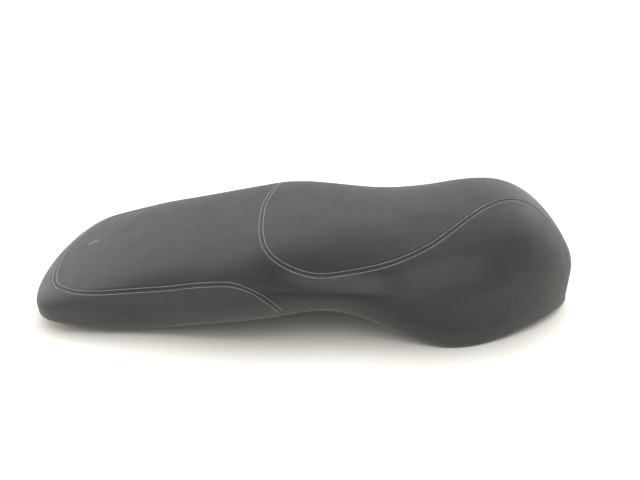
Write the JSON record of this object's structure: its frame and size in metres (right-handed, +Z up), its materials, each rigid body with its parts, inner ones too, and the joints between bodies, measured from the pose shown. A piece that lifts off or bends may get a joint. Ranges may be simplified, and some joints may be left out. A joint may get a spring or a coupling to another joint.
{
  "type": "scooter dual seat",
  "caption": "Long two-level padded saddle for a rider and a passenger, vinyl covered, on a moulded base that hinges at the nose and locks at the tail.",
  "frame": {"origin": "bottom centre of the seat's box, at the level the closed seat's lowest metal stands on", "axes": "+X towards the nose, +Y to the rider's left, +Z up"},
  "size_m": [0.7398, 0.3054, 0.1707],
  "materials": {
    "cover_vinyl_rider": "fine pebble grain vinyl, charcoal, low sheen",
    "cover_vinyl_main": "fine pebble grain vinyl, charcoal, low sheen",
    "cover_vinyl_band": "fine pebble grain vinyl, charcoal, low sheen, scuffed at the tail",
    "hem_vinyl": "vinyl turned under the rim",
    "staple_wire": "galvanised staple wire",
    "foam": "moulded polyurethane foam",
    "base_plastic": "black moulded polypropylene",
    "buffer_rubber": "black moulded rubber",
    "plated_steel": "zinc plated steel",
    "painted_steel": "black painted pressed steel",
    "brass": "turned brass",
    "bronze": "sintered bronze"
  },
  "bodies": {
    "hinge_base": {"hinge_frame_bracket": "painted_steel", "hinge_pin": "plated_steel", "hinge_pin_clip": "plated_steel", "hinge_washers": "plated_steel"},
    "seat": {"cover_rider_panel": "cover_vinyl_rider", "cover_main_panel": "cover_vinyl_main", "cover_tail_band": "cover_vinyl_band", "cover_hem": "hem_vinyl", "cover_staples": "staple_wire", "foam_core": "foam", "seat_base": "base_plastic", "buffers_rear": "buffer_rubber", "buffers_middle": "buffer_rubber", "buffers_front": "buffer_rubber", "striker_plate": "plated_steel", "striker_loop": "plated_steel", "striker_bolts": "plated_steel", "striker_inserts": "brass", "hinge_seat_bracket": "painted_steel", "hinge_studs": "plated_steel", "hinge_nuts": "plated_steel", "hinge_bushes": "bronze"}
  },
  "joints": [
    {"name": "seat_hinge", "type": "hinge", "parent": "hinge_base", "child": "seat", "pos_m": [0.33, 0, 0.024], "axis": [0, 1, 0], "range_deg": [0, 75]}
  ]
}
